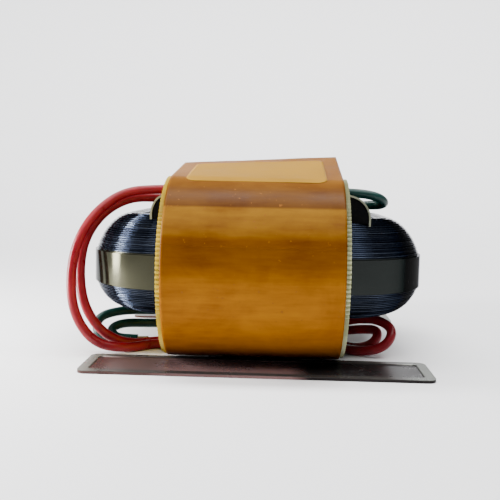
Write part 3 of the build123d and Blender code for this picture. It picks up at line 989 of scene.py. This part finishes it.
@dataclass
class Studio:
    """Camera, pale floor that curves up behind, and soft light."""

    focal_px: float = 772.213
    picture_px: float = 500.0
    eye: Point = (5.72, -226.9, 47.62)
    yaw: float = -0.036
    pitch: float = -0.093
    roll: float = 0.020
    sensor: float = 36.0
    floor_front: float = -1500.0
    bend_start: float = 700.0
    bend_radius: float = 400.0
    floor_half_width: float = 2600.0
    surround: Colour = (0.80, 0.82, 0.86)
    surround_strength: float = 0.26

    def camera(self) -> None:
        """Places the camera from its eye point and its three angles."""
        ahead = Vector((math.sin(self.yaw) * math.cos(self.pitch),
                        math.cos(self.yaw) * math.cos(self.pitch), math.sin(self.pitch)))
        right = Vector((math.cos(self.yaw), -math.sin(self.yaw), 0))
        up = right.cross(ahead)
        across = right * math.cos(self.roll) + up * math.sin(self.roll)
        over = up * math.cos(self.roll) - right * math.sin(self.roll)
        data = bpy.data.cameras.new("camera")
        data.sensor_width = self.sensor
        data.lens = self.sensor * self.focal_px / self.picture_px
        data.clip_start = 0.01
        data.clip_end = 20
        thing = bpy.data.objects.new("camera", data)
        turn = Matrix((across, over, -ahead)).transposed().to_4x4()
        thing.matrix_world = Matrix.Translation(Vector(self.eye) * MM) @ turn
        bpy.context.scene.collection.objects.link(thing)
        bpy.context.scene.camera = thing

    def floor(self) -> None:
        """Builds the floor: level, then a quarter round, then a short upright edge."""
        angle = np.linspace(0, np.pi / 2, 24)
        steps = np.linspace(self.floor_front, self.bend_start, 12, endpoint=False)
        level = np.stack([steps, np.zeros(12)], axis=-1)
        radius = self.bend_radius
        bend = np.stack([self.bend_start + radius * np.sin(angle), radius - radius * np.cos(angle)], axis=-1)
        wall = np.stack([np.full(2, self.bend_start + radius), radius + np.array([20.0, 60.0])], axis=-1)
        line = np.concatenate([level, bend, wall])
        x = np.linspace(-self.floor_half_width, self.floor_half_width, 9)
        grid = np.stack([
            np.broadcast_to(x[:, None], (9, len(line))),
            np.broadcast_to(line[:, 0], (9, len(line))),
            np.broadcast_to(line[:, 1], (9, len(line))),
        ], axis=-1)
        floor = grid_object("studio_floor", grid)
        paint = Paint("pale floor")
        paint.set(Base_Color=(0.80, 0.80, 0.81, 1.0), Roughness=0.7, Specular_IOR_Level=0.2)
        floor.data.materials.append(paint.material)

    def lamp(self, name: str, eye: Point, aim: Point, size: tuple[float, float], watts: float) -> None:
        """Hangs a soft rectangular lamp at a place in millimetres, turned to another place."""
        data = bpy.data.lights.new(name, "AREA")
        data.shape = "RECTANGLE"
        data.size, data.size_y = size[0] * MM, size[1] * MM
        data.energy = watts
        thing = bpy.data.objects.new(name, data)
        way = (Vector(aim) - Vector(eye)) * MM
        turn = way.to_track_quat("-Z", "Y").to_matrix().to_4x4()
        thing.matrix_world = Matrix.Translation(Vector(eye) * MM) @ turn
        bpy.context.scene.collection.objects.link(thing)

    def light(self) -> None:
        """Sets an even grey surround, an overhead lamp, a narrow lamp at the left and one on the wall."""
        world = bpy.data.worlds.new("surround")
        world.use_nodes = True
        background = world.node_tree.nodes["Background"]
        background.inputs["Color"].default_value = (*self.surround, 1)
        background.inputs["Strength"].default_value = self.surround_strength
        bpy.context.scene.world = world
        self.lamp("overhead", (40, -470, 900), (0, 0, 20), (1300, 330), 11)
        self.lamp("left strip", (-230, -38, 62), (-36, -43, 25), (47, 160), 2.1)
        self.lamp("back wall", (0, 300, 1500), (0, 1100, 500), (2200, 500), 90)

    def build(self) -> None:
        """Makes the camera, floor and lights."""
        self.camera()
        self.floor()
        self.light()
        LOG.info("studio ready")


LEAD_ROUTES: dict[str, list[Point]] = {
    "red_lead_1": [
        (-21.5, -10.0, 44.05), (-28.6, -10.0, 44.05), (-37.6, -12.6, 43.1), (-44.4, -17.6, 37.5),
        (-48.4, -22.0, 29.5), (-49.4, -24.8, 19.7), (-48.0, -25.6, 10.0), (-42.6, -25.6, 2.8),
        (-34.8, -24.0, 1.3), (-27.6, -16.3, 1.3), (-17.6, -15.1, 1.4), (-6.8, -13.4, 2.4),
        (4.2, -13.4, 2.4), (13.2, -15.2, 1.5), (22.6, -15.2, 1.3), (29.2, -20.2, 1.3),
        (35.2, -22.8, 3.4), (37.6, -20.4, 7.8), (33.4, -15.2, 9.6), (28.2, -9.4, 8.4),
        (22.4, -7.2, 6.4), (16.2, -7.0, 4.9), (10.6, -7.0, 4.2),
    ],
    "red_lead_2": [
        (-21.5, -7.2, 41.55), (-28.4, -7.2, 41.55), (-36.6, -9.2, 41.5), (-43.4, -13.0, 37.3),
        (-47.6, -17.2, 29.9), (-48.0, -20.6, 20.5), (-46.0, -22.4, 11.5), (-40.8, -21.8, 4.4),
        (-34.2, -18.6, 1.3), (-26.6, -12.1, 1.3), (-16.0, -11.9, 1.4), (-6.8, -10.3, 2.4),
        (4.2, -10.3, 2.4), (13.2, -11.9, 1.5), (22.6, -11.7, 1.3), (29.0, -16.0, 1.3),
        (33.0, -18.0, 3.6), (34.2, -14.8, 6.6), (29.2, -10.0, 5.6), (24.0, -5.6, 4.0),
        (18.2, -4.0, 2.6), (12.2, -3.8, 2.0),
    ],
    "green_lead_1": [
        (21.5, -10.0, 44.05), (27.6, -10.0, 44.05), (33.0, -9.2, 43.2), (35.8, -6.6, 41.6),
        (35.2, -3.0, 40.6), (31.4, -0.6, 40.4), (26.4, 0.4, 39.8), (21.2, 0.2, 37.6), (16.8, 0.0, 32.8),
        (15.0, 0.0, 25.4), (14.0, 0.4, 17.6), (10.8, 2.8, 10.8), (4.4, 4.8, 7.6), (-4.2, 5.0, 7.3),
        (-13.0, 3.8, 7.3), (-22.0, 1.2, 7.6), (-31.0, -2.4, 8.2), (-39.4, -6.2, 8.6),
        (-45.4, -10.4, 7.2), (-44.8, -13.8, 3.0), (-40.4, -14.2, 1.4), (-35.2, -13.8, 1.3),
    ],
    "green_lead_2": [
        (21.5, -7.2, 41.55), (26.2, -7.2, 41.55), (29.8, -5.6, 40.6), (28.8, -2.4, 38.2),
        (24.2, -0.4, 35.0), (21.0, 0.0, 29.6), (20.0, 0.0, 21.6), (18.6, 0.8, 13.8), (13.6, 3.8, 7.2),
        (6.6, 6.2, 4.2), (-1.8, 6.2, 3.8), (-10.2, 5.0, 3.8), (-18.4, 2.0, 3.8), (-26.0, -1.6, 4.2),
        (-33.0, -5.0, 4.8), (-38.6, -7.8, 5.2), (-41.8, -9.8, 3.8), (-40.2, -11.1, 1.8),
        (-37.0, -11.1, 1.3), (-33.6, -10.9, 1.3),
    ],
}

LEAD_LENGTHS: dict[str, float] = {
    "red_lead_1": 185.0,
    "red_lead_2": 170.0,
    "green_lead_1": 138.0,
    "green_lead_2": 117.0,
}


def main() -> None:
    """Builds the studio, the leads and then each sub-assembly."""
    logging.basicConfig(level=logging.INFO)
    Studio().build()
    Leads(routes=LEAD_ROUTES, lengths=LEAD_LENGTHS).build()
    Jacket().build()
    WoundCore().build()
    FrameDress().build()
    bpy.context.view_layer.update()


if __name__ == "__main__":
    main()
